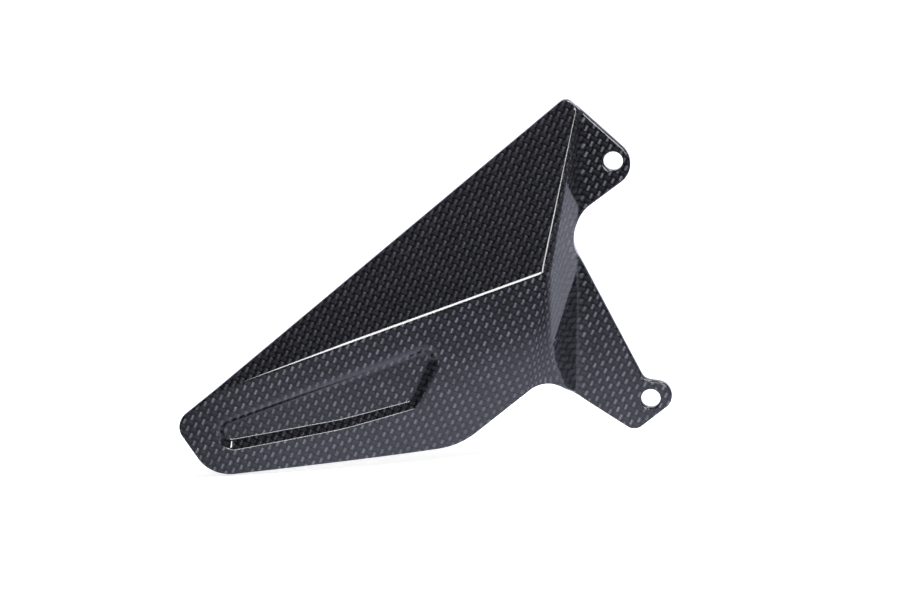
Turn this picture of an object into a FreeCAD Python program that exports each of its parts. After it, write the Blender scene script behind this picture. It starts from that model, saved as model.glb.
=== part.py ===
import FreeCAD
import Part
import math
import os

from FreeCAD import Vector

# Moulded sheet: its thickness, the rounding of its front rim, and the room left round the finished edge
wall = 2.0
rim_round = 0.7
cover = 15.0
blank_margin = 0.6

# Bolt holes in the mounting flange
bolt_hole_d = 6.4
lower_hole_x = 11.5
lower_hole_z = -82.6

# Trimmed outline in the flange plane, from the upper hole, x forward and z up
top_corner_x = -15.3
top_corner_z = 22.25
top_corner_r = 3.0
upper_tab_x = 10.1
upper_tab_z = -1.5
upper_tab_r = 8.0
waist_x = -17.0
waist_z = -22.1
waist_r = 14.0
notch_dx = -1.9
notch_dz = 6.7
notch_r = 4.0
lower_tab_dx = 15.0
lower_tab_dz = 4.7
lower_tab_r = 5.25
heel_corner_dx = -5.5
heel_corner_dz = -11.7
heel_corner_r = 4.0
neck_x = -22.8
neck_z = -71.2
neck_r = 7.5
heel_bend_dx = 10.0
heel_bend_dz = -10.5
heel_bend_r = 40.0
edge_angle = 38.0
guard_length = 164.7
end_angle = -59.2
end_length = 22.5
bottom_angle = 3.1
tip_upper_r = 6.0
tip_lower_r = 13.0
bottom_r = 22.0

# Main face: how it leans over the flange, and the step between the two
lean_back = 16.4
lean_side = 4.8
foot_x = -10.8
step_top = 1.2
step_top_at = 19.0
wall_angle = 58.0
ridge_r = 4.5
ridge_r_at = 18.0
ridge_ease = 6.0
foot_r = 5.0

# Fold across the face and the panel below it
crease_x = -77.5
crease_y = -56.5
crease_slope = 20.0
fold_angle = 18.5
crease_r = 6.0
belly_start = 17.0
belly_r = 111.0
belly_taper = 1.39
belly_taper_to = 64.0
belly_steepest = 42.0

# Recess pressed into the lower panel, measured along the fold and down the panel
recess_depth = 2.5
recess_draft = 45.0
recess_round = 3.2
recess_top = 10.4
recess_left = -61.4
recess_right = 21.7
recess_heel_s = 3.0
recess_heel_t = 30.4
recess_belly_s = -22.1
recess_belly_t = 28.0
recess_tip_s = -62.8
recess_tip_t = 20.7
recess_corner_r = 5.0
recess_belly_r = 80.0

# How near an edge lies to the surface it belongs to, and the least lift of a ridge edge off the flange
touch = 0.01
side_touch = 0.02
ridge_lift = 0.1

# Places along an edge where it is tested, the cosine of an upright edge, and the blank's play at the neck
edge_places = (0.05, 0.5, 0.95)
mid_places = (0.45, 0.55)
upright_cosine = 0.999
neck_play = 1.05

z_axis = Vector(0, 0, 1)
big = 2 * guard_length


def heading(degrees):
    a = math.radians(degrees)
    return Vector(math.cos(a), math.sin(a), 0)


def meet(p, u, q, v):
    k = ((q.x - p.x) * v.y - (q.y - p.y) * v.x) / (u.x * v.y - u.y * v.x)
    return p + u * k


def rounded(corners):
    ends = []
    count = len(corners)
    for i in range(count):
        p, r = corners[i]
        u = (corners[i - 1][0] - p).normalize()
        v = (corners[(i + 1) % count][0] - p).normalize()
        half = u.getAngle(v) / 2
        reach = r / math.tan(half)
        mid = p + (u + v).normalize() * (r / math.sin(half) - r)
        ends.append((p + u * reach, mid, p + v * reach))
    edges = []
    for i in range(count):
        a, mid, b = ends[i]
        edges.append(Part.Arc(a, mid, b).toShape())
        edges.append(Part.LineSegment(b, ends[(i + 1) % count][0]).toShape())
    return Part.Wire(edges)


# The face frame has the main face in its x-y plane, with z outward.
# The flange plane dips below it toward the bottom.
slope_x = math.tan(math.radians(lean_side))
slope_y = math.tan(math.radians(lean_back))
steep = math.tan(math.radians(wall_angle))
flange_stretch = Vector(slope_x, slope_y, 1).Length
step_stretch = Vector(steep, slope_y, 1).Length
flange_out = Vector(-slope_x, -slope_y, 1).normalize()
flange_fwd = Vector(flange_out.z, 0, -flange_out.x).normalize()
flange_up = flange_out.cross(flange_fwd)


def flange_level(x, y, inset=0):
    return slope_x * (x - foot_x) + slope_y * (y - step_top_at) - step_top - inset * flange_stretch


def step_level(x, y, inset=0):
    return flange_level(foot_x, y) + (foot_x - x) * steep - inset * step_stretch


flange_zero = Vector(0, 0, flange_level(0, 0))


def on_flange(x, z):
    return flange_zero + flange_fwd * x + flange_up * z


def over_flange(x, z):
    p = on_flange(x, z)
    return p - flange_out * (p.z / flange_out.z)


# Outline corners in the flange plane
edge_dir = heading(edge_angle)
top_corner = Vector(top_corner_x, top_corner_z, 0)
neck = Vector(neck_x, neck_z, 0)
heel_bend = neck + Vector(heel_bend_dx, heel_bend_dz, 0)
lower_hole = Vector(lower_hole_x, lower_hole_z, 0)
heel_corner = lower_hole + Vector(heel_corner_dx, heel_corner_dz, 0)
upper_tab = Vector(upper_tab_x, upper_tab_z, 0)
tip_upper = top_corner - edge_dir * guard_length
tip_lower = tip_upper + heading(end_angle) * end_length
bottom = meet(tip_lower, heading(bottom_angle), neck, edge_dir)
outline = [(top_corner, top_corner_r),
           (upper_tab, upper_tab_r),
           (Vector(waist_x, waist_z, 0), waist_r),
           (lower_hole + Vector(notch_dx, notch_dz, 0), notch_r),
           (lower_hole + Vector(lower_tab_dx, lower_tab_dz, 0), lower_tab_r),
           (heel_corner, heel_corner_r),
           (heel_bend, heel_bend_r),
           (neck, neck_r),
           (bottom, bottom_r),
           (tip_lower, tip_lower_r),
           (tip_upper, tip_upper_r)]
trim_wire = rounded([(on_flange(p.x, p.y), r) for p, r in outline])


def prism(wire):
    solid = Part.Face(wire).extrude(flange_out * big)
    solid.translate(flange_out * -cover)
    return solid


trim = prism(trim_wire)

# Main face, fold and lower panel: sections square to the fold line, lofted along it
fold = math.radians(fold_angle)
steepest = math.radians(belly_steepest)
along = heading(crease_slope)
down = heading(crease_slope - 90)
crease_zero = Vector(crease_x, crease_y, 0)
corners = [place(p.x, p.y) for p, r in outline for place in (on_flange, over_flange)]
along_span = [(c - crease_zero).dot(along) for c in corners]
down_span = [(c - crease_zero).dot(down) for c in corners]
first = min(along_span) - cover
last = max(along_span) + cover
high = min(down_span) - cover
left = min(c.x for c in corners) - cover
right = max(c.x for c in corners) + cover
back = max(c.y for c in corners) + cover
front = min(c.y for c in corners) - cover
slab_corners = [(left, back), (right, back), (right, front), (left, front), (left, back)]


def belly_radius(s):
    return belly_r - belly_taper * min(s, belly_taper_to)


low = belly_start + belly_radius(first) * (math.sin(steepest) - math.sin(fold)) + cover


def panel_section(s, inset):
    rho = belly_radius(s)
    run = crease_r * math.tan(fold / 2)
    belly_q = belly_start - rho * math.sin(fold)
    belly_w = -belly_start * math.tan(fold) - rho * math.cos(fold)

    def at(q, w):
        return crease_zero + along * s + down * q + z_axis * w

    def crown(angle):
        r = crease_r - inset
        return at(r * math.sin(angle) - run, r * math.cos(angle) - crease_r)

    def belly(angle):
        r = rho - inset
        return at(belly_q + r * math.sin(angle), belly_w + r * math.cos(angle))

    end_q = belly_q + (rho - inset) * math.sin(steepest)
    end_w = belly_w + (rho - inset) * math.cos(steepest)
    points = [at(high, -inset), crown(0), crown(fold), belly(fold), belly(steepest),
              at(low, end_w - (low - end_q) * math.tan(steepest)), at(low, -big), at(high, -big)]
    edges = [Part.LineSegment(points[i], points[(i + 1) % 8]).toShape() for i in range(8)]
    edges[1] = Part.Arc(points[1], crown(fold / 2), points[2]).toShape()
    edges[3] = Part.Arc(points[3], belly((fold + steepest) / 2), points[4]).toShape()
    return Part.Wire(edges)


# Blank: a rough outline that leaves a margin round the finished edge
def outer_line(p, q):
    u = (q - p).normalize()
    return p + Vector(-u.y, u.x, 0) * blank_margin, u


top_line = outer_line(top_corner, upper_tab)
bend_line = outer_line(heel_bend, neck)
low_line = outer_line(neck, bottom)
neck_run = neck_play * neck_r / math.tan((heel_bend - neck).getAngle(bottom - neck) / 2)
reach = (top_corner - heel_corner).Length / 2
blank = [top_line[0] - top_line[1] * reach,
         top_line[0] + top_line[1] * reach,
         bend_line[0] - bend_line[1] * reach,
         bend_line[0] + bend_line[1] * ((neck - heel_bend).Length - neck_run),
         low_line[0] + low_line[1] * neck_run,
         low_line[0] + low_line[1] * ((bottom - neck).Length + cover),
         tip_lower - Vector(cover, cover, 0)]
blank.append(Vector(blank[-1].x, blank[0].y, 0))
blank.append(blank[0])
blank_wire = Part.makePolygon([on_flange(p.x, p.y) for p in blank])
blank_prism = prism(blank_wire)

# Frame of the lower panel at the fold, for the recess
panel_out = down * math.sin(fold) + z_axis * math.cos(fold)
panel_down = down * math.cos(fold) - z_axis * math.sin(fold)
draft = math.tan(math.radians(recess_draft))
recess_rim = [(Vector(recess_right, recess_top, 0), recess_corner_r),
              (Vector(recess_heel_s, recess_heel_t, 0), recess_corner_r),
              (Vector(recess_belly_s, recess_belly_t, 0), recess_belly_r),
              (Vector(recess_tip_s, recess_tip_t, 0), recess_corner_r),
              (Vector(recess_left, recess_top, 0), recess_corner_r)]


def recess_wire(grow, height):
    lines = []
    count = len(recess_rim)
    for i in range(count):
        p = recess_rim[i][0]
        u = (recess_rim[(i + 1) % count][0] - p).normalize()
        lines.append((p + Vector(u.y, -u.x, 0) * grow, u))
    corners = []
    for i in range(count):
        p = meet(*lines[i - 1], *lines[i])
        at = crease_zero + along * p.x + panel_down * p.y + panel_out * height
        corners.append((at, recess_rim[i][1] + grow))
    return rounded(corners)


work = FreeCAD.newDocument("guard")


def rolled(solid, picks):
    base = work.addObject("Part::Feature", "Base")
    base.Shape = solid
    fillet = work.addObject("Part::Fillet", "Fillet")
    fillet.Base = base
    edges = base.Shape.Edges
    fillet.Edges = [([e.isSame(x) for x in edges].index(True) + 1, r0, r1) for e, r0, r1 in picks]
    work.recompute()
    return fillet.Shape


def point(edge, k):
    a, b = edge.ParameterRange
    return edge.valueAt(a + (b - a) * k)


def along_edge(edge, test):
    return all(test(point(edge, k)) for k in edge_places)


def level(p):
    return (p - flange_zero).dot(flange_out)


def cut_by(wire, edge):
    return along_edge(edge, lambda p: wire.distToShape(Part.Vertex(p - flange_out * level(p)))[0] < touch)


def growth(height):
    return height / (height + ridge_ease)


def moulded_form(inset):
    panels = Part.makeLoft([panel_section(s, inset) for s in (first, belly_taper_to, last)], True, True)

    def on_step(y, z):
        return Vector(foot_x + (step_level(foot_x, y, inset) - z) / steep, y, z)

    step = [on_step(big, big), on_step(-big, big), on_step(-big, -big), on_step(big, -big)]
    step.append(step[0])
    panels = panels.cut(Part.Face(Part.makePolygon(step)).extrude(Vector(2 * big, 0, 0)))
    slab = [Vector(x, y, flange_level(x, y, inset)) for x, y in slab_corners]
    slab = Part.Face(Part.makePolygon(slab)).extrude(z_axis * -big)
    form = panels.fuse(slab).common(blank_prism).removeSplitter().Solids[0]

    def lift(p):
        return p.z - flange_level(p.x, p.y, inset)

    def on_wall(p):
        return abs(p.z - step_level(p.x, p.y, inset)) < touch

    def ridge_radius(p):
        return (ridge_r - inset) * growth(lift(p)) / growth(ridge_r_at)

    ridge = [e for e in form.Edges if along_edge(e, lambda p: on_wall(p) and lift(p) > ridge_lift)]
    ridge = [e for e in ridge if not cut_by(blank_wire, e)]
    top_lift = min(lift(v.Point) for e in ridge for v in e.Vertexes)
    form = rolled(form, [(e, ridge_radius(point(e, 0)), ridge_radius(point(e, 1))) for e in ridge])

    def foot_radius(p):
        return foot_r + inset if p.y < waist_z else top_lift

    foot = [e for e in form.Edges if along_edge(e, lambda p: on_wall(p) and lift(p) < touch)]
    form = rolled(form, [(e, foot_radius(point(e, 0)), foot_radius(point(e, 1))) for e in foot])

    spread = inset / math.cos(math.radians(recess_draft))
    floor = -recess_depth - inset
    pocket = Part.makeLoft([recess_wire(floor * draft + spread, floor),
                            recess_wire(recess_depth * draft + spread, recess_depth)], True, True)
    form = form.cut(pocket).Solids[0]

    def depth(p):
        return (p - crease_zero).dot(panel_out)

    sides = Part.makeCompound([f for f in pocket.Faces if len(f.Edges) == 4])

    def on_side(p):
        return sides.distToShape(Part.Vertex(p))[0] < side_touch

    box = pocket.BoundBox

    def recess_edges(solid):
        return [e for e in solid.Edges if box.isInside(e.BoundBox.Center) and along_edge(e, on_side)]

    rims = [e for e in recess_edges(form) if min(depth(point(e, 0)), depth(point(e, 1))) > floor + touch]
    form = form.makeFillet(recess_round - inset, rims)
    floors = [e for e in recess_edges(form) if along_edge(e, lambda p: abs(depth(p) - floor) < touch)]
    return form.makeFillet(recess_round + inset, floors)


def upright(edge):
    a, b = [point(edge, k) for k in mid_places]
    return abs((b - a).normalize().dot(flange_out)) > upright_cosine


# Outer form trimmed to the outline, front rim rounded, hollowed by the inner form
guard = moulded_form(0).common(trim).Solids[0]
rim = [e for e in guard.Edges if along_edge(e, lambda p: level(p) > -wall)]
rim = [e for e in rim if cut_by(trim_wire, e) and not upright(e)]
guard = guard.makeFillet(rim_round, rim).cut(moulded_form(wall))

# Bolt holes square to the flange, with rounded front lips
hole_r = bolt_hole_d / 2
for hole in (Vector(), lower_hole):
    start = on_flange(hole.x, hole.y) - flange_out * (2 * wall)
    guard = guard.cut(Part.makeCylinder(hole_r, 3 * wall, start, flange_out))
guard = guard.Solids[0]


def on_lip(p):
    nearest = min((p - on_flange(hole.x, hole.y)).Length for hole in (Vector(), lower_hole))
    return abs(level(p)) < touch and nearest < hole_r + touch


lips = [e for e in guard.Edges if along_edge(e, on_lip)]
guard = guard.makeFillet(rim_round, lips)

# Into the mounting frame: back of the flange in y = 0, front toward -y
origin = flange_zero - flange_out * wall
rows = []
for axis in (flange_fwd, -flange_out, flange_up):
    rows += [axis.x, axis.y, axis.z, -axis.dot(origin)]
guard = guard.transformShape(FreeCAD.Matrix(*rows, 0, 0, 0, 1))
os.makedirs("parts", exist_ok=True)
guard.exportStep("parts/heel_guard.step")
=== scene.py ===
import math

import bmesh
import bpy
import numpy as np
from mathutils import Matrix, Vector


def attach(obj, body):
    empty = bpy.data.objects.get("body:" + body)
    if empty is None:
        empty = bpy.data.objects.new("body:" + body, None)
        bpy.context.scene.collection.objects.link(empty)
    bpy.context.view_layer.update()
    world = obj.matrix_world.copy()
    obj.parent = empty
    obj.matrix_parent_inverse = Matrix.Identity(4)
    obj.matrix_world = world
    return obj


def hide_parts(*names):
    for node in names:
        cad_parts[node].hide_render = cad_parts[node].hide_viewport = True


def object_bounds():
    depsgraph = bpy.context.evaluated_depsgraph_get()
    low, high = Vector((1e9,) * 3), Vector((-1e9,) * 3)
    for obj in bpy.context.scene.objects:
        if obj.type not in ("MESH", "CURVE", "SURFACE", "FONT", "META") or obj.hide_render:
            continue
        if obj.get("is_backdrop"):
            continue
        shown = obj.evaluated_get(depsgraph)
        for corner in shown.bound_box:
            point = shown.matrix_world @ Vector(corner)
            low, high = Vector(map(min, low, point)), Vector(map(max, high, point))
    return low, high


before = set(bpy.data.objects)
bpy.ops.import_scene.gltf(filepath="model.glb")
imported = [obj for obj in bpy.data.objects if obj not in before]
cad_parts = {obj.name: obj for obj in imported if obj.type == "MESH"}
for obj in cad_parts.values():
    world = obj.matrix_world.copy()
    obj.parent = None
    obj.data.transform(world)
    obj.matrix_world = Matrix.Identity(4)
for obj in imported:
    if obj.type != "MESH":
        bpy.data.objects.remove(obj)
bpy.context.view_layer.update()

bl_info = {
    "name": "Heel guard",
    "version": (1, 0, 0),
    "blender": (4, 5, 0),
    "location": "3D View > Sidebar > Heel guard",
    "description": "Carbon-fibre heel guard with a plain studio around it",
    "category": "Object",
}

MM = 0.001


def linear(code):
    """Linear colour of an sRGB hex code."""
    parts = [int(code[i:i + 2], 16) / 255 for i in (0, 2, 4)]
    return [c / 12.92 if c <= 0.04045 else ((c + 0.055) / 1.055) ** 2.4 for c in parts]


def length(name, about, millimetres):
    return bpy.props.FloatProperty(name=name, description=about, default=millimetres * MM,
                                   subtype="DISTANCE", unit="LENGTH")


def angle(name, about, degrees):
    return bpy.props.FloatProperty(name=name, description=about, default=math.radians(degrees),
                                   subtype="ANGLE", unit="ROTATION")


def colour(name, about, code):
    return bpy.props.FloatVectorProperty(name=name, description=about, default=linear(code),
                                         size=3, min=0, max=1, subtype="COLOR")


class GuardSizes(bpy.types.PropertyGroup):
    """Sizes of the moulded sheet, the same as in its solid"""
    wall: length("Wall", "Thickness of the sheet", 2.0)
    rim_round: length("Rim round", "Rounding of the trimmed front edge", 0.7)
    hole_d: length("Hole", "Diameter of the bolt holes", 6.4)
    lower_hole_x: length("Lower hole X", "Lower hole forward of the upper hole", 11.5)
    lower_hole_z: length("Lower hole Z", "Lower hole above the upper hole", -82.6)
    guard_length: length("Length", "Upper edge from its top corner to the tip", 164.7)
    edge_angle: angle("Upper edge", "Slope of the upper edge", 38.0)
    end_length: length("End", "Length of the end at the tip", 22.5)
    end_angle: angle("End slope", "Slope of the end at the tip", -59.2)
    bottom_angle: angle("Bottom edge", "Slope of the bottom edge", 3.1)
    lean_back: angle("Lean back", "Lean of the flange behind the main face", 16.4)
    lean_side: angle("Lean side", "Sideways lean of the flange behind the main face", 4.8)
    foot_x: length("Foot", "Foot of the step wall", -10.8)
    step_top: length("Step", "Height of the step at its top", 1.2)
    step_top_at: length("Step top", "Where the step has that height", 19.0)
    wall_angle: angle("Step wall", "Slope of the step wall", 58.0)
    foot_r: length("Foot round", "Rounding at the foot of the step", 5.0)
    crease_x: length("Fold X", "A point on the fold", -77.5)
    crease_y: length("Fold Y", "A point on the fold", -56.5)
    crease_slope: angle("Fold slope", "Direction of the fold across the face", 20.0)
    fold_angle: angle("Fold", "Angle of the fold", 18.5)
    crease_r: length("Fold round", "Rounding of the fold", 6.0)
    belly_start: length("Belly start", "Flat strip under the fold", 17.0)
    belly_r: length("Belly radius", "Bend of the lower panel at the fold's point", 111.0)
    belly_taper_to: length("Belly taper end", "Where the bend stops growing tighter", 64.0)
    belly_steepest: angle("Belly end", "Steepest slope of the lower panel", 42.0)
    recess_depth: length("Recess depth", "Depth of the pressed recess", 2.5)
    recess_draft: angle("Recess draft", "Slope of the recess sides", 45.0)
    recess_round: length("Recess round", "Rounding of the recess edges", 3.2)
    mesh_step: length("Mesh step", "Size of the mesh faces on flat parts", 1.6)
    rim_step: length("Rim step", "Size of the mesh faces along the edge", 0.8)


class GuardLook(bpy.types.PropertyGroup):
    """Colours and cloth of the guard"""
    # The two tow families are the same fibre, painted in a lit tone and a shaded tone as painted sheen and
    # painted shade
    fibre_light: colour("Fibre light", "Tow that lies across the light", "434349")
    fibre_dark: colour("Fibre dark", "Tow that lies along the light", "38383F")
    # Colour of the painted highlight on the crests of the cross tows, where the sheet is folded down
    crest: colour("Crest", "Crests of the cross tows where the sheet is folded down", "8C8C99")
    resin: colour("Resin", "Dark resin between the tows", "08080B")
    tow: length("Tow", "Width of one tow of the plain weave", 2.0)
    relief: length("Relief", "Height of the tows under the coat", 0.4)
    weave_angle: angle("Weave", "Direction of the upright tows on the main face", 67.0)
    flange_turn: angle("Flange weave", "Turn of the cloth on the flange", 5.0)


class StudioSizes(bpy.types.PropertyGroup):
    """Camera, floor and lamps"""
    lens: bpy.props.FloatProperty(name="Lens", description="Focal length in millimetres", default=200.0)
    view_width: length("View width", "Width of the view at the guard", 300.0)
    floor_gap: length("Floor gap", "Floor under the lowest edge", 0.5)
    floor_colour: colour("Floor", "Pale floor", "F4F4F4")
    cool_white: colour("Cool white", "Pale surroundings in reflections", "E8ECFF")


# Trimmed outline in the flange plane, from the upper hole: x forward, z up, corner radius
TOP_CORNER = (-15.3, 22.25, 3.0)
UPPER_TAB = (10.1, -1.5, 8.0)
WAIST = (-17.0, -22.1, 14.0)
NOTCH = (-1.9, 6.7, 4.0)
LOWER_TAB = (15.0, 4.7, 5.25)
HEEL_CORNER = (-5.5, -11.7, 4.0)
HEEL_BEND = (-12.8, -81.7, 40.0)
NECK = (-22.8, -71.2, 7.5)
BOTTOM_R = 22.0
TIP_LOWER_R = 13.0
TIP_UPPER_R = 6.0

# Recess rim along the fold and down the panel, with its corner radii
RECESS = ((21.7, 10.4, 5.0), (3.0, 30.4, 5.0), (-22.1, 28.0, 80.0),
          (-62.8, 20.7, 5.0), (-61.4, 10.4, 5.0))

# Rounding of the ridge and of the foot at heights of the main face
RIDGE_AT = (-84.0, -50.0, -36.0, 18.4)
RIDGE_R = (2.67, 4.18, 4.5, 1.23)
FOOT_AT = (-80.0, 21.0)
FOOT_TOP_R = 1.55
BELLY_TAPER = 1.39

# The recess edges get tighter down the panel
RECESS_ROUND_AT = (12.0, 17.0)
RECESS_LOWER_R = 1.3
LEAST_R = 0.4

# Search for the moulded surface from above it, and the small shifts that give its slopes, in millimetres
SEARCH_FROM = 60.0
SEARCH_STEPS = 60
SHIFT = 0.004
NUDGE = 0.001
TINY = 1e-6

# Height on the step wall where the cloth of the flange joins that of the face, and the wall's least width
CLOTH_JOIN = -40.0
LEAST_WIDTH = 0.1

# Where a vertex of the blank lies: on the trimmed edge, on the ring beside it, or in the field
EDGE = 0.0
RING = 1.0
FIELD = 2.0
HALF = 0.5

# Mesh of the blank: width of the second ring, cuts and steps, and the turns in degrees that split an edge
SECOND_RING = 0.7
RING_CUTS = 4
HOLE_SIDES = 40
ARC_STEPS = 4
RUN_STEPS = 2
CUT_TOUCH = 1e-4
GRID_COSINE = 0.99999
MERGE_SHARE = 0.4
BEND_LIMITS = (5.0, 5.0, 4.0, 4.0)

# Weave: the seam between tows, their crowns, filaments, dark gaps and painted highlights on the crests, in
# tow widths
SEAM = 0.05
CROWN_POWER = 0.4
FILAMENTS = 22.0
FILAMENT_RUN = 0.8
FILAMENT_DETAIL = 2.0
FILAMENT_RELIEF = 0.06
DRIFT_SCALE = 0.35
GAP_END = 0.5
GRAIN = (0.5, 0.65)
CLOUD = (0.5, 0.7)
# Painted highlight on the crests of the cross tows: its shape across and along the tow, and the lean of the
# surface over which it fades in
PAINTED_CREST_ACROSS = 6.0
PAINTED_CREST_ALONG = 0.5
PAINTED_CREST_LEAN = (-0.12, -0.26)
QUARTER = 0.25

# Studio in metres: floor, its sweep and backdrop, and how bright they are to the camera and in reflections
FLOOR_WIDTH = 3.0
FLOOR_DEPTH = 1.4
FLOOR_MIDDLE = 0.2
SWEEP_R = 0.3
SWEEP_STEPS = 16
SWEEP_TOP = 0.95
BACKDROP_RISE = 1.2
PAPER_GLOW = 0.6
PAPER_FADE = (-0.24, 0.02, 0.05, 1.6)
FADE_RIGHT_FROM = 0.03
FADE_RIGHT = -0.85
FADE_LEFT_FROM = -0.1
FADE_LEFT = -2.0
SKY_FADE = (0.25, 0.45, 0.05, 1.0)
SKY_LIGHT = 0.25
WHITE = (*linear("FFFFFF"), 1.0)

# Point of the face in the middle of the view, in millimetres, and the camera
AIM = (-54.17, -46.0, -12.0)
SENSOR_WIDTH = 36.0
CLIP_END = 20.0

# Softboxes: direction in the frame of the face, distance, width and height in metres, and watts
SOFTBOXES = {
    "front_strip": ((0.10, -0.29, 0.95), 0.8, (0.17, 0.17), 2.2),
    "top_box": ((0.45, 0.83, 0.33), 0.7, (0.5, 0.15), 6.0),
    "side_strip": ((0.33, -0.05, 0.93), 0.8, (0.14, 0.35), 2.6),
}


def heading(turn):
    return np.array((math.cos(turn), math.sin(turn)))


class Mould:
    """The moulded surface in the frame of the main face: millimetres, z outward."""

    def __init__(self, sizes):
        for name in sizes.__annotations__:
            value = getattr(sizes, name)
            turn = sizes.bl_rna.properties[name].subtype == "ANGLE"
            setattr(self, name, value if turn else value / MM)
        self.slope_x = math.tan(self.lean_side)
        self.slope_y = math.tan(self.lean_back)
        self.steep = math.tan(self.wall_angle)
        out = np.array((-self.slope_x, -self.slope_y, 1.0))
        self.flange_stretch = np.linalg.norm(out)
        self.out = out / self.flange_stretch
        fwd = np.array((self.out[2], 0.0, -self.out[0]))
        self.fwd = fwd / np.linalg.norm(fwd)
        self.up = np.cross(self.out, self.fwd)
        step = np.array((self.steep, -self.slope_y, 1.0))
        self.step_stretch = np.linalg.norm(step)
        self.step_out = step / self.step_stretch
        self.zero = np.array((0.0, 0.0, self.flange_level(0.0, 0.0)))
        self.crease = np.array((self.crease_x, self.crease_y, 0.0))
        self.along = np.append(heading(self.crease_slope), 0.0)
        self.down = np.append(heading(self.crease_slope - math.pi / 2), 0.0)
        face_out = np.array((0.0, 0.0, 1.0))
        self.panel_out = self.down * math.sin(self.fold_angle) + face_out * math.cos(self.fold_angle)
        self.panel_down = self.down * math.cos(self.fold_angle) - face_out * math.sin(self.fold_angle)

    def flange_level(self, x, y):
        return self.slope_x * (x - self.foot_x) + self.slope_y * (y - self.step_top_at) - self.step_top

    def outline(self):
        """Corners of the trimmed outline with their radii."""
        edge = heading(self.edge_angle)
        hole = np.array((self.lower_hole_x, self.lower_hole_z))
        top = np.array(TOP_CORNER[:2])
        neck = np.array(NECK[:2])
        tip_upper = top - edge * self.guard_length
        tip_lower = tip_upper + heading(self.end_angle) * self.end_length
        run = heading(self.bottom_angle)
        gap = neck - tip_lower
        reach = (gap[0] * edge[1] - gap[1] * edge[0]) / (run[0] * edge[1] - run[1] * edge[0])
        return [(top, TOP_CORNER[2]),
                (np.array(UPPER_TAB[:2]), UPPER_TAB[2]),
                (np.array(WAIST[:2]), WAIST[2]),
                (hole + NOTCH[:2], NOTCH[2]),
                (hole + LOWER_TAB[:2], LOWER_TAB[2]),
                (hole + HEEL_CORNER[:2], HEEL_CORNER[2]),
                (np.array(HEEL_BEND[:2]), HEEL_BEND[2]),
                (neck, NECK[2]),
                (tip_lower + run * reach, BOTTOM_R),
                (tip_lower, TIP_LOWER_R),
                (tip_upper, TIP_UPPER_R)]

    def recess_room(self, s, t):
        """How far a point lies inside the rounded rim of the recess."""
        gaps = []
        ways = []
        for i, corner in enumerate(RECESS):
            end = RECESS[(i + 1) % len(RECESS)]
            run = np.array((end[0] - corner[0], end[1] - corner[1]))
            run = run / np.linalg.norm(run)
            ways.append((run[1], -run[0]))
            gaps.append((s - corner[0]) * run[1] - (t - corner[1]) * run[0])
        rounded = []
        for i, corner in enumerate(RECESS):
            cosine = ways[i - 1][0] * ways[i][0] + ways[i - 1][1] * ways[i][1]
            rounded.append(rounded_edge(gaps[i - 1], gaps[i], cosine, corner[2]))
        return -np.maximum.reduce(rounded)

    def gap(self, p, inset):
        """Distance of points outside the surface that lies an inset under the front."""
        x = p[:, 0]
        y = p[:, 1]
        z = p[:, 2]
        from_crease = p - self.crease
        s = from_crease @ self.along
        q = from_crease @ self.down
        sin_fold = math.sin(self.fold_angle)
        cos_fold = math.cos(self.fold_angle)
        strip = q * sin_fold + z * cos_fold + inset
        panel = rounded_edge(z + inset, strip, cos_fold, self.crease_r - inset)
        tilt = np.arctan2(q + self.crease_r * math.tan(self.fold_angle / 2), z + self.crease_r)
        tilt = np.clip(tilt, 0.0, self.fold_angle)
        bend = self.belly_r - BELLY_TAPER * np.minimum(s, self.belly_taper_to)
        belly_q = q - self.belly_start + bend * sin_fold
        belly_z = z + self.belly_start * math.tan(self.fold_angle) + bend * cos_fold
        turn = np.arctan2(belly_q, belly_z)
        belly = np.hypot(belly_q, belly_z) - bend + inset
        tail = belly_q * math.sin(self.belly_steepest) + belly_z * math.cos(self.belly_steepest)
        belly = np.where(turn > self.belly_steepest, tail - bend + inset, belly)
        past = turn > self.fold_angle
        panel = np.where(past, belly, panel)
        tilt = np.where(past, np.minimum(turn, self.belly_steepest), tilt)
        panel_way = np.sin(tilt)[:, None] * self.down + np.cos(tilt)[:, None] * (0.0, 0.0, 1.0)

        step = self.flange_level(self.foot_x, y) + (self.foot_x - x) * self.steep
        step = (z - step) / self.step_stretch + inset
        ridge_r = np.interp(y, RIDGE_AT, RIDGE_R) * (1 - inset / max(RIDGE_R))
        form = rounded_edge(panel, step, panel_way @ self.step_out, ridge_r)
        flange = (z - self.flange_level(x, y)) / self.flange_stretch + inset
        foot_r = np.interp(y, FOOT_AT, (self.foot_r + inset, FOOT_TOP_R))
        form = -rounded_edge(-form, -flange, self.step_out @ self.out, foot_r)

        t = from_crease @ self.panel_down
        depth = -(from_crease @ self.panel_out)
        room = self.recess_room(s, t)
        rise = (self.recess_room(s, t + NUDGE) - room) / NUDGE
        sin_draft = math.sin(self.recess_draft)
        cos_draft = math.cos(self.recess_draft)
        side = room * cos_draft - depth * sin_draft + inset
        floor = self.recess_depth - depth + inset
        edge_r = np.interp(t, RECESS_ROUND_AT, (self.recess_round, RECESS_LOWER_R))
        pocket = -rounded_edge(-side, -floor, sin_draft, edge_r + inset)
        cosine = panel_way @ self.panel_out * sin_draft + panel_way @ self.panel_down * rise * cos_draft
        return rounded_edge(form, pocket, cosine, np.maximum(edge_r - inset, LEAST_R))

    def over_flange(self, flat, height):
        under = self.zero + np.outer(flat[:, 0], self.fwd) + np.outer(flat[:, 1], self.up)
        return under + np.outer(height, self.out)

    def heights(self, flat, inset):
        """Height over the flange at which each point of the flange plane meets the surface."""
        height = np.full(len(flat), SEARCH_FROM)
        for _ in range(SEARCH_STEPS):
            height = height - self.gap(self.over_flange(flat, height), inset)
        return height

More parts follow.
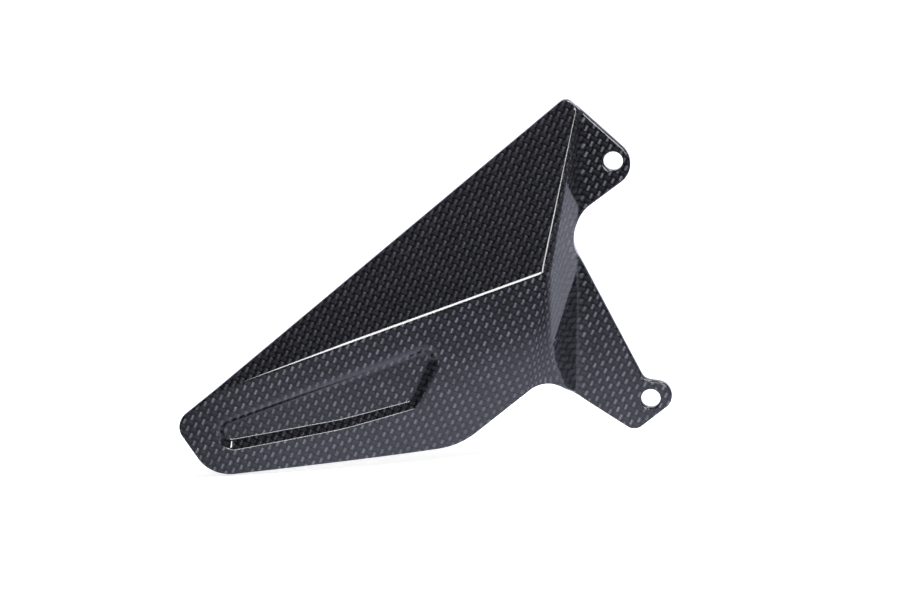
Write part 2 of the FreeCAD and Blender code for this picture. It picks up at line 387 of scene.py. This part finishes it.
    def ways(self, p, inset):
        """Outward direction of the surface at points on it."""
        ways = np.empty_like(p)
        for i in range(3):
            shift = np.zeros(3)
            shift[i] = SHIFT
            ways[:, i] = self.gap(p + shift, inset) - self.gap(p - shift, inset)
        return ways / np.linalg.norm(ways, axis=1)[:, None]

    def to_mount(self, p):
        rel = p - self.zero
        return np.column_stack((rel @ self.fwd, -(rel @ self.out) - self.wall, rel @ self.up))

    def turn_to_mount(self, ways):
        return np.column_stack((ways @ self.fwd, -(ways @ self.out), ways @ self.up))

    def cloth(self, p, flange_turn):
        """Flat place of points in the cloth that is draped over the mould."""
        from_crease = p - self.crease
        s = from_crease @ self.along
        q = from_crease @ self.down
        bend = self.belly_r - BELLY_TAPER * np.minimum(s, self.belly_taper_to)
        belly_q = q - self.belly_start + bend * math.sin(self.fold_angle)
        bent = np.arcsin(np.clip(belly_q / bend, -1.0, math.sin(self.belly_steepest)))
        strip = np.minimum(q, self.belly_start) / math.cos(self.fold_angle)
        below = np.where(q > self.belly_start, strip + bend * (bent - self.fold_angle), strip)
        across = np.where(q > 0, below, q)
        flat = self.crease[:2] + np.outer(s, self.along[:2]) + np.outer(across, self.down[:2])
        ridge_x = self.foot_x + (self.flange_level(self.foot_x, p[:, 1])) / self.steep
        width = self.foot_x - ridge_x
        past = np.clip(p[:, 0] - ridge_x, 0.0, width)
        flat[:, 0] += past * (1 / math.cos(self.wall_angle) - 1)
        rel = p - self.zero
        turned = heading(flange_turn)
        over = np.column_stack((rel @ self.fwd, rel @ self.up))
        side = over @ np.array(((turned[0], turned[1]), (-turned[1], turned[0])))
        middle = np.argmin(np.abs(p[:, 0] - self.foot_x + width / 2) + np.abs(p[:, 1] - CLOTH_JOIN))
        side += flat[middle] - side[middle]
        share = past / np.maximum(width, LEAST_WIDTH)
        share = (share * share * (3 - 2 * share))[:, None]
        return flat * (1 - share) + side * share


def rounded_edge(a, b, cosine, radius):
    """Distance outside two half spaces whose common edge is rounded."""
    p = a + radius
    q = b + radius
    wide = np.maximum(1 - cosine * cosine, TINY)
    arc = np.sqrt(np.maximum(p * p + q * q - 2 * p * q * cosine, 0.0) / wide) - radius
    between = (p > q * cosine) & (q > p * cosine)
    return np.where(between, arc, np.maximum(a, b))


def add_node(tree, kind, links=None, **settings):
    """Add a shader node with its settings, socket values and links."""
    node = tree.nodes.new("ShaderNode" + kind)
    for name, value in settings.items():
        setattr(node, name, value)
    for socket, source in (links or {}).items():
        if isinstance(source, bpy.types.NodeSocket):
            tree.links.new(source, node.inputs[socket])
        else:
            node.inputs[socket].default_value = source
    return node


def weave_material(look, face_up):
    """Plain-weave carbon fibre under a thick clear gloss coat"""
    # Dark fibre bundles with a painted sheen that makes them lighter in turn along and across the cloth,
    # under the sharp gloss of the coat
    material = bpy.data.materials.new("carbon_plain_weave_gloss")
    material.use_nodes = True
    tree = material.node_tree
    tree.nodes.clear()
    cloth = add_node(tree, "UVMap", uv_map="cloth").outputs[0]
    each_tow = (1 / look.tow,) * 3
    tows = add_node(tree, "VectorMath", {0: cloth, 1: each_tow}, operation="MULTIPLY").outputs[0]

    # Waves across and along the upright tows, and which of the two families lies on top
    waves = []
    for part in add_node(tree, "SeparateXYZ", {0: tows}).outputs[:2]:
        turn = add_node(tree, "Math", {0: part, 1: math.pi}, operation="MULTIPLY").outputs[0]
        waves.append(add_node(tree, "Math", {0: turn}, operation="SINE").outputs[0])
    over = add_node(tree, "Math", {0: waves[0], 1: waves[1]}, operation="MULTIPLY").outputs[0]
    upright = add_node(tree, "MapRange", {0: over, 1: -SEAM, 2: SEAM}).outputs[0]
    wide, tall = [add_node(tree, "Math", {0: wave}, operation="ABSOLUTE").outputs[0] for wave in waves]

    # Crown of the tow on top, flat across and round along
    crowns = []
    for across, along in ((tall, wide), (wide, tall)):
        flat = add_node(tree, "Math", {0: across, 1: CROWN_POWER}, operation="POWER").outputs[0]
        crowns.append(add_node(tree, "Math", {0: flat, 1: along}, operation="MULTIPLY").outputs[0])
    height = add_node(tree, "Mix", {0: upright, 2: crowns[0], 3: crowns[1]}, data_type="FLOAT").outputs[0]

    # Filaments along each tow, drawn coarser than real ones so that they show
    streaks = []
    for stretch in ((FILAMENT_RUN, FILAMENTS, 1.0), (FILAMENTS, FILAMENT_RUN, 1.0)):
        place = add_node(tree, "VectorMath", {0: tows, 1: stretch}, operation="MULTIPLY").outputs[0]
        noise = {"Vector": place, "Scale": 1.0, "Detail": FILAMENT_DETAIL}
        streaks.append(add_node(tree, "TexNoise", noise, noise_dimensions="2D").outputs[0])
    streak = add_node(tree, "Mix", {0: upright, 2: streaks[0], 3: streaks[1]}, data_type="FLOAT").outputs[0]
    noise = {"Vector": tows, "Scale": DRIFT_SCALE, "Detail": 1.0}
    drift = add_node(tree, "TexNoise", noise, noise_dimensions="2D").outputs[0]
    relief = add_node(tree, "Math", {0: streak, 1: FILAMENT_RELIEF, 2: height}, operation="MULTIPLY_ADD")
    bump = add_node(tree, "Bump", {"Strength": 1.0, "Distance": look.relief, "Height": relief.outputs[0]})

    # Tows of two tones, the lighter one a painted sheen on the tows that lie across the light and the
    # darker one painted shade, and darker in the gaps between them
    tones = {0: upright, 6: (*look.fibre_light, 1.0), 7: (*look.fibre_dark, 1.0)}
    tone = add_node(tree, "Mix", tones, data_type="RGBA").outputs[2]
    amount = add_node(tree, "MapRange", {0: height, 1: 0.0, 2: GAP_END, 3: 0.0, 4: 1.0},
                      interpolation_type="SMOOTHSTEP").outputs[0]
    for source, (gain, base) in ((streak, GRAIN), (drift, CLOUD)):
        part = add_node(tree, "Math", {0: source, 1: gain, 2: base}, operation="MULTIPLY_ADD").outputs[0]
        amount = add_node(tree, "Math", {0: amount, 1: part}, operation="MULTIPLY").outputs[0]
    shade = add_node(tree, "Mix", {0: amount, 6: (*look.resin, 1.0), 7: tone}, data_type="RGBA").outputs[2]

    # Painted highlight: the crests of the cross tows are painted lighter where the sheet is folded down
    # from the main face, standing in for the sheen they reflect there
    side = add_node(tree, "TexCoord").outputs["Normal"]
    highlight_lean = add_node(tree, "VectorMath", {0: side, 1: face_up}, operation="DOT_PRODUCT").outputs["Value"]
    start, end = PAINTED_CREST_LEAN
    highlight_lean = add_node(tree, "MapRange", {0: highlight_lean, 1: start, 2: end, 3: 0.0, 4: 1.0}).outputs[0]
    crest = add_node(tree, "Math", {0: wide, 1: PAINTED_CREST_ACROSS}, operation="POWER").outputs[0]
    run = add_node(tree, "Math", {0: tall, 1: PAINTED_CREST_ALONG}, operation="POWER").outputs[0]
    cross = add_node(tree, "Math", {0: 1.0, 1: upright}, operation="SUBTRACT").outputs[0]
    for part in (run, cross, highlight_lean, drift):
        crest = add_node(tree, "Math", {0: crest, 1: part}, operation="MULTIPLY").outputs[0]
    shade = add_node(tree, "Mix", {0: crest, 6: shade, 7: (*look.crest, 1.0)}, data_type="RGBA").outputs[2]

    # The fibres of the cross tows lie a quarter turn from those of the upright tows
    turn = {0: upright, 1: -QUARTER, 2: QUARTER}
    turn = add_node(tree, "Math", turn, operation="MULTIPLY_ADD").outputs[0]
    tangent = add_node(tree, "Tangent", direction_type="UV_MAP", uv_map="cloth").outputs[0]
    surface = add_node(tree, "BsdfPrincipled", {
        "Base Color": shade,
        "Metallic": 0.85,
        "Roughness": 0.6,
        "Specular IOR Level": 0.15,
        "Anisotropic": 0.95,
        "Anisotropic Rotation": turn,
        "Tangent": tangent,
        "Normal": bump.outputs[0],
        "Coat Weight": 1.0,
        "Coat Roughness": 0.03,
        "Coat IOR": 1.5,
    })
    add_node(tree, "OutputMaterial", {0: surface.outputs[0]})
    return material


def paper_material(studio):
    """White matt paper"""
    # Near white with soft shadows to the camera, and darker toward the front and the sides in reflections
    material = bpy.data.materials.new("pale_matt_paper")
    material.use_nodes = True
    tree = material.node_tree
    tree.nodes.clear()
    rays = add_node(tree, "LightPath").outputs
    seen = {0: rays["Is Camera Ray"], 1: rays["Is Transmission Ray"]}
    seen = add_node(tree, "Math", seen, operation="MAXIMUM").outputs[0]
    glow = add_node(tree, "Math", {0: seen, 1: PAPER_GLOW}, operation="MULTIPLY").outputs[0]
    light = add_node(tree, "Emission", {0: WHITE, 1: glow})
    paper = add_node(tree, "BsdfDiffuse", {0: (*studio.floor_colour, 1.0)})
    both = add_node(tree, "AddShader", {0: light.outputs[0], 1: paper.outputs[0]})
    place = add_node(tree, "TexCoord").outputs["Object"]
    x, y = add_node(tree, "SeparateXYZ", {0: place}).outputs[:2]
    right = add_node(tree, "Math", {0: x, 1: FADE_RIGHT_FROM}, operation="SUBTRACT").outputs[0]
    left = add_node(tree, "Math", {0: FADE_LEFT_FROM, 1: x}, operation="SUBTRACT").outputs[0]
    behind = y
    for past, share in ((right, FADE_RIGHT), (left, FADE_LEFT)):
        past = add_node(tree, "Math", {0: past, 1: 0.0}, operation="MAXIMUM").outputs[0]
        behind = add_node(tree, "Math", {0: past, 1: share, 2: behind}, operation="MULTIPLY_ADD").outputs[0]
    start, end, least, most = PAPER_FADE
    fade = {0: behind, 1: start, 2: end, 3: least, 4: most}
    fade = add_node(tree, "MapRange", fade, interpolation_type="SMOOTHSTEP").outputs[0]
    mirror = add_node(tree, "Emission", {0: (*studio.cool_white, 1.0), 1: fade})
    mixed = {0: rays["Is Glossy Ray"], 1: both.outputs[0], 2: mirror.outputs[0]}
    add_node(tree, "OutputMaterial", {0: add_node(tree, "MixShader", mixed).outputs[0]})
    return material


def spread(first, last, step):
    count = max(1, math.ceil((last - first) / step))
    return [first + (last - first) * i / count for i in range(1, count)]


def outline_loop(bm, mould):
    """Trimmed outline in the flange plane: an arc spun at each corner, and straight runs between."""
    corners = mould.outline()
    count = len(corners)
    ends = []
    for i in range(count):
        at, radius = corners[i]
        back = corners[i - 1][0] - at
        on = corners[(i + 1) % count][0] - at
        back = back / np.linalg.norm(back)
        on = on / np.linalg.norm(on)
        half = math.acos(float(np.clip(back @ on, -1.0, 1.0))) / 2
        middle = (back + on) / np.linalg.norm(back + on) * (radius / math.sin(half)) + at
        start = at + back * (radius / math.tan(half))
        side = back[0] * on[1] - back[1] * on[0]
        sweep = math.copysign(math.pi - 2 * half, side)
        first = bm.verts.new((start[0], 0.0, start[1]))
        steps = max(ARC_STEPS, math.ceil(abs(sweep) * radius / mould.rim_step))
        spun = bmesh.ops.spin(bm, geom=[first], cent=(middle[0], 0.0, middle[1]), axis=(0.0, 1.0, 0.0),
                              angle=sweep, steps=steps, use_duplicate=False)
        last = [v for v in spun["geom_last"] if isinstance(v, bmesh.types.BMVert)][0]
        ends.append((first, last))
    for i in range(count):
        start = ends[i][1]
        stop = ends[(i + 1) % count][0]
        run = stop.co - start.co
        steps = max(RUN_STEPS, round(run.length / mould.rim_step))
        drawn = bmesh.ops.spin(bm, geom=[start], axis=(0.0, 1.0, 0.0), angle=0.0, dvec=run / steps,
                               steps=steps - 1, use_duplicate=False)
        last = [v for v in drawn["geom_last"] if isinstance(v, bmesh.types.BMVert)][0]
        bm.edges.new((last, stop))


def flat_blank(mould):
    """Flat sheet of the outline with both holes, two narrow rings along its edges and a fine grid."""
    bm = bmesh.new()
    outline_loop(bm, mould)
    for hole in ((0.0, 0.0), (mould.lower_hole_x, mould.lower_hole_z)):
        place = Matrix.Translation((hole[0], 0.0, hole[1])) @ Matrix.Rotation(math.pi / 2, 4, "X")
        bmesh.ops.create_circle(bm, cap_ends=False, radius=mould.hole_d / 2, segments=HOLE_SIDES,
                                matrix=place)
    bmesh.ops.triangle_fill(bm, use_beauty=True, edges=bm.edges[:], normal=(0.0, -1.0, 0.0))
    rim = bm.verts.layers.float_vector.new("rim")
    edge_way = bm.verts.layers.float_vector.new("edge_way")
    part = bm.verts.layers.float.new("part")
    middle = bm.faces[:]
    for width in (mould.rim_round, mould.rim_round * SECOND_RING):
        bmesh.ops.inset_region(bm, faces=middle, thickness=width, use_boundary=True,
                               use_even_offset=True)
    edge_verts = {v for v in bm.verts if v.is_boundary}
    for v in bm.verts:
        v[part] = FIELD
    for v in edge_verts:
        inner = [e.other_vert(v) for e in v.link_edges if e.other_vert(v) not in edge_verts][0]
        way = (v.co - inner.co).normalized()
        for w in (v, inner):
            w[rim] = inner.co
            w[edge_way] = way
        v[part] = EDGE
        inner[part] = RING
    crease = np.array((mould.along @ mould.fwd, mould.along @ mould.up))
    crease = crease / np.linalg.norm(crease)
    square = np.array((-crease[1], crease[0]))
    flat = np.array([(v.co.x, v.co.z) for v in bm.verts])
    inside = set(middle)
    for way in (crease, square):
        reach = flat @ way
        for at in spread(reach.min(), reach.max(), mould.mesh_step):
            geom = {e for f in inside for e in f.edges}
            geom = list(geom) + list(inside)
            cut = bmesh.ops.bisect_plane(bm, geom=geom, dist=CUT_TOUCH, plane_no=(way[0], 0.0, way[1]),
                                         plane_co=(way[0] * at, 0.0, way[1] * at))
            inside = {g for g in cut["geom"] if isinstance(g, bmesh.types.BMFace)}
    grid = [Vector((crease[0], 0.0, crease[1])), Vector((square[0], 0.0, square[1]))]
    loose = []
    for e in {e for f in inside for e in f.edges}:
        if all(f in inside for f in e.link_faces):
            run = (e.verts[1].co - e.verts[0].co).normalized()
            if max(abs(run.dot(way)) for way in grid) < GRID_COSINE:
                loose.append(e)
    bmesh.ops.dissolve_edges(bm, edges=loose, use_verts=True)
    field = [v for v in bm.verts if v[part] > FIELD - HALF]
    bmesh.ops.remove_doubles(bm, verts=field, dist=mould.rim_step * MERGE_SHARE)
    return bm


def finer_bends(bm, mould, limit):
    """Split the edges over which either side of the sheet turns by more than a limit in degrees."""
    part = bm.verts.layers.float["part"]
    back = bm.verts.layers.int["back"]
    least = math.cos(math.radians(limit))
    bent = []
    for layer, inset in ((0, 0.0), (1, mould.wall)):
        field = [v for v in bm.verts if v[back] == layer and v[part] > FIELD - HALF]
        flat = np.array([(v.co.x, v.co.z) for v in field])
        ways = mould.ways(mould.over_flange(flat, mould.heights(flat, inset)), inset)
        at = dict(zip(field, ways))
        bent += [e for e in bm.edges if e.verts[0] in at and e.verts[1] in at
                 and at[e.verts[0]] @ at[e.verts[1]] < least]
    bmesh.ops.subdivide_edges(bm, edges=bent, cuts=1, use_grid_fill=True, use_single_edge=True)
    many = [f for f in bm.faces if len(f.verts) > 4 and all(v[part] > RING - HALF for v in f.verts)]
    bmesh.ops.triangulate(bm, faces=[f for f in many if len({v[back] for v in f.verts}) == 1])


def moulded(mould, flat, parts, backs, rims, edges):
    """Places on the mould of the blank's vertices, and the directions that they face."""
    place = np.empty((len(flat), 3))
    ways = np.empty((len(flat), 3))
    ring = ~backs & (parts < RING + HALF)
    field = ~backs & ~ring
    place[field] = mould.over_flange(flat[field], mould.heights(flat[field], 0.0))
    ways[field] = mould.ways(place[field], 0.0)

    # The front edge is rolled by a ball that touches the face and the trimmed edge
    ball = mould.over_flange(rims[ring], mould.heights(rims[ring], mould.rim_round))
    face_way = mould.ways(ball, mould.rim_round)
    wall_way = np.outer(edges[ring][:, 0], mould.fwd) + np.outer(edges[ring][:, 1], mould.up)
    wall_way = wall_way / np.linalg.norm(wall_way, axis=1)[:, None]
    turn = np.arccos(np.clip(np.sum(face_way * wall_way, axis=1), -1.0, 1.0))
    share = np.clip(parts[ring], 0.0, 1.0)
    roll = np.sin(share * turn)[:, None] * face_way
    roll = roll + np.sin((1 - share) * turn)[:, None] * wall_way
    roll = roll / np.linalg.norm(roll, axis=1)[:, None]
    place[ring] = ball + roll * mould.rim_round
    ways[ring] = roll

    place[backs] = mould.over_flange(flat[backs], mould.heights(flat[backs], mould.wall))
    ways[backs] = -mould.ways(place[backs], mould.wall)
    return place, ways


class GuardShell(bpy.types.Operator):
    """Build the moulded guard: a flat blank of the outline, raised onto the mould on both sides"""
    bl_idname = "object.heel_guard_shell"
    bl_label = "Heel guard shell"

    def execute(self, context):
        scene = context.scene
        mould = Mould(scene.guard_sizes)
        bm = flat_blank(mould)
        rim = bm.verts.layers.float_vector["rim"]
        edge_way = bm.verts.layers.float_vector["edge_way"]
        part = bm.verts.layers.float["part"]
        back = bm.verts.layers.int.new("back")
        lifted = bmesh.ops.extrude_face_region(bm, geom=bm.faces[:])
        behind = [g for g in lifted["geom"] if isinstance(g, bmesh.types.BMVert)]
        for v in behind:
            v[back] = 1
        crossing = [e for e in bm.edges if not e.verts[0][back] and not e.verts[1][back]
                    and sorted((e.verts[0][part], e.verts[1][part])) == [EDGE, RING]]
        bmesh.ops.subdivide_edges(bm, edges=crossing, cuts=RING_CUTS, use_grid_fill=True)
        for limit in BEND_LIMITS:
            finer_bends(bm, mould, limit)
        bm.verts.ensure_lookup_table()
        bm.verts.index_update()
        flat = np.array([(v.co.x, v.co.z) for v in bm.verts])
        parts = np.array([v[part] for v in bm.verts])
        backs = np.array([v[back] for v in bm.verts], dtype=bool)
        rims = np.array([(v[rim].x, v[rim].z) for v in bm.verts])
        edges = np.array([(v[edge_way].x, v[edge_way].z) for v in bm.verts])
        place, ways = moulded(mould, flat, parts, backs, rims, edges)
        edge_ways = np.zeros((len(flat), 3))
        edge_ways[:, 0] = edges[:, 0]
        edge_ways[:, 2] = edges[:, 1]

        mount = mould.to_mount(place) * MM
        for v, co in zip(bm.verts, mount):
            v.co = co
        look = scene.guard_look
        cloth = mould.cloth(place, look.flange_turn) * MM
        turned = heading(look.weave_angle - math.pi / 2)
        cloth = cloth @ np.array(((turned[0], -turned[1]), (turned[1], turned[0])))

        bmesh.ops.triangulate(bm, faces=[f for f in bm.faces if len(f.verts) > 4])
        bmesh.ops.recalc_face_normals(bm, faces=bm.faces[:])
        if not all(e.is_manifold for e in bm.edges):
            raise RuntimeError("The shell of the heel guard is not closed")
        bm.verts.index_update()
        uv = bm.loops.layers.uv.new("cloth")
        ways = mould.turn_to_mount(ways)
        normals = []
        for f in bm.faces:
            f.smooth = True
            kinds = [v[back] for v in f.verts]
            side = 0 < sum(kinds) < len(kinds)
            for loop in f.loops:
                i = loop.vert.index
                loop[uv].uv = cloth[i]
                normals.append(edge_ways[i] if side else ways[i])
        mesh = bpy.data.meshes.new("guard_shell")
        for layer in (rim, edge_way):
            bm.verts.layers.float_vector.remove(layer)
        bm.verts.layers.float.remove(bm.verts.layers.float["part"])
        bm.verts.layers.int.remove(bm.verts.layers.int["back"])
        bm.to_mesh(mesh)
        bm.free()
        mesh.normals_split_custom_set(normals)
        face_up = mould.turn_to_mount(np.array(((0.0, 1.0, 0.0),)))[0]
        mesh.materials.append(weave_material(look, face_up))
        guard = bpy.data.objects.new("guard_shell", mesh)
        scene.collection.objects.link(guard)
        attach(guard, "root")
        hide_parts("heel_guard")
        return {"FINISHED"}


class GuardStudio(bpy.types.Operator):
    """Set up the floor, the backdrop, the lamps and the camera"""
    bl_idname = "scene.heel_guard_studio"
    bl_label = "Heel guard studio"

    def execute(self, context):
        scene = context.scene
        mould = Mould(scene.guard_sizes)
        studio = scene.studio_sizes
        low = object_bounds()[0]
        face = [np.array(way) for way in ((1.0, 0.0, 0.0), (0.0, 1.0, 0.0), (0.0, 0.0, 1.0))]
        face_x, face_y, face_z = [Vector(mould.turn_to_mount(way[None])[0]) for way in face]

        # Camera square to the main face
        aim = Vector(mould.to_mount(np.array((AIM,)))[0]) * MM
        camera = bpy.data.cameras.new("camera")
        camera.lens = studio.lens
        camera.sensor_width = SENSOR_WIDTH
        camera.clip_end = CLIP_END
        view = bpy.data.objects.new("camera", camera)
        scene.collection.objects.link(view)
        distance = studio.view_width * studio.lens / SENSOR_WIDTH
        turn = Matrix((face_x, face_y, face_z)).transposed()
        view.matrix_world = Matrix.Translation(aim + face_z * distance) @ turn.to_4x4()
        scene.camera = view

        # Pale floor that sweeps up behind
        level = low[2] - studio.floor_gap
        bm = bmesh.new()
        bmesh.ops.create_grid(bm, x_segments=1, y_segments=1, size=HALF,
                              matrix=Matrix.Diagonal((FLOOR_WIDTH, FLOOR_DEPTH, 1.0, 1.0)))
        bmesh.ops.translate(bm, verts=bm.verts[:], vec=(aim.x, FLOOR_MIDDLE, level))
        far = [e for e in bm.edges if all(v.co.y > FLOOR_MIDDLE for v in e.verts)]
        bmesh.ops.spin(bm, geom=far, cent=(aim.x, FLOOR_MIDDLE + FLOOR_DEPTH / 2, level + SWEEP_R),
                       axis=(1.0, 0.0, 0.0), angle=math.pi / 2, steps=SWEEP_STEPS, use_duplicate=False)
        top = [e for e in bm.edges if all(v.co.z > level + SWEEP_R * SWEEP_TOP for v in e.verts)]
        raised = bmesh.ops.extrude_edge_only(bm, edges=top)
        bmesh.ops.translate(bm, verts=[g for g in raised["geom"] if isinstance(g, bmesh.types.BMVert)],
                            vec=(0.0, 0.0, BACKDROP_RISE))
        for f in bm.faces:
            f.smooth = True
        mesh = bpy.data.meshes.new("floor")
        bm.to_mesh(mesh)
        bm.free()
        mesh.materials.append(paper_material(studio))
        floor = bpy.data.objects.new("floor", mesh)
        scene.collection.objects.link(floor)
        floor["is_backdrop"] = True

        # World: white to the camera, dim for light, brighter behind and at the sides in reflections
        world = bpy.data.worlds.new("studio")
        scene.world = world
        world.use_nodes = True
        tree = world.node_tree
        tree.nodes.clear()
        rays = add_node(tree, "LightPath").outputs
        place = add_node(tree, "TexCoord").outputs["Generated"]
        back = add_node(tree, "SeparateXYZ", {0: place}).outputs[1]
        start, end, least, most = SKY_FADE
        rear = add_node(tree, "MapRange", {0: back, 1: start, 2: end, 3: least, 4: most}).outputs[0]
        mirror = {0: rays["Is Glossy Ray"], 2: SKY_LIGHT, 3: rear}
        mirror = add_node(tree, "Mix", mirror, data_type="FLOAT").outputs[0]
        seen = {0: rays["Is Camera Ray"], 1: rays["Is Transmission Ray"]}
        seen = add_node(tree, "Math", seen, operation="MAXIMUM").outputs[0]
        strength = add_node(tree, "Mix", {0: seen, 2: mirror, 3: 1.0}, data_type="FLOAT").outputs[0]
        tint = {0: rays["Is Glossy Ray"], 6: WHITE, 7: (*studio.cool_white, 1.0)}
        tint = add_node(tree, "Mix", tint, data_type="RGBA").outputs[2]
        sky = add_node(tree, "Background", {0: tint, 1: strength})
        add_node(tree, "OutputWorld", {0: sky.outputs[0]})

        for name, (toward, away, size, power) in SOFTBOXES.items():
            lamp = bpy.data.lights.new(name, "AREA")
            lamp.shape = "RECTANGLE"
            lamp.size = size[0]
            lamp.size_y = size[1]
            lamp.energy = power
            body = bpy.data.objects.new(name, lamp)
            scene.collection.objects.link(body)
            way = (face_x * toward[0] + face_y * toward[1] + face_z * toward[2]).normalized()
            side = face_y.cross(way).normalized()
            turned = Matrix((side, way.cross(side), way)).transposed()
            body.matrix_world = Matrix.Translation(aim + way * away) @ turned.to_4x4()
        return {"FINISHED"}


class GuardPanel(bpy.types.Panel):
    """Heel guard tools"""
    bl_idname = "VIEW3D_PT_heel_guard"
    bl_label = "Heel guard"
    bl_space_type = "VIEW_3D"
    bl_region_type = "UI"
    bl_category = "Heel guard"

    def draw(self, context):
        scene = context.scene
        for group in (scene.guard_sizes, scene.guard_look, scene.studio_sizes):
            for name in group.__annotations__:
                self.layout.prop(group, name)
        self.layout.operator(GuardShell.bl_idname)
        self.layout.operator(GuardStudio.bl_idname)


CLASSES = (GuardSizes, GuardLook, StudioSizes, GuardShell, GuardStudio, GuardPanel)


def register():
    for cls in CLASSES:
        bpy.utils.register_class(cls)
    bpy.types.Scene.guard_sizes = bpy.props.PointerProperty(type=GuardSizes)
    bpy.types.Scene.guard_look = bpy.props.PointerProperty(type=GuardLook)
    bpy.types.Scene.studio_sizes = bpy.props.PointerProperty(type=StudioSizes)


def unregister():
    del bpy.types.Scene.studio_sizes
    del bpy.types.Scene.guard_look
    del bpy.types.Scene.guard_sizes
    for cls in reversed(CLASSES):
        bpy.utils.unregister_class(cls)


def main():
    register()
    bpy.ops.object.heel_guard_shell()
    bpy.ops.scene.heel_guard_studio()
    bpy.context.scene.view_settings.view_transform = "Standard"


if __name__ == "__main__":
    main()
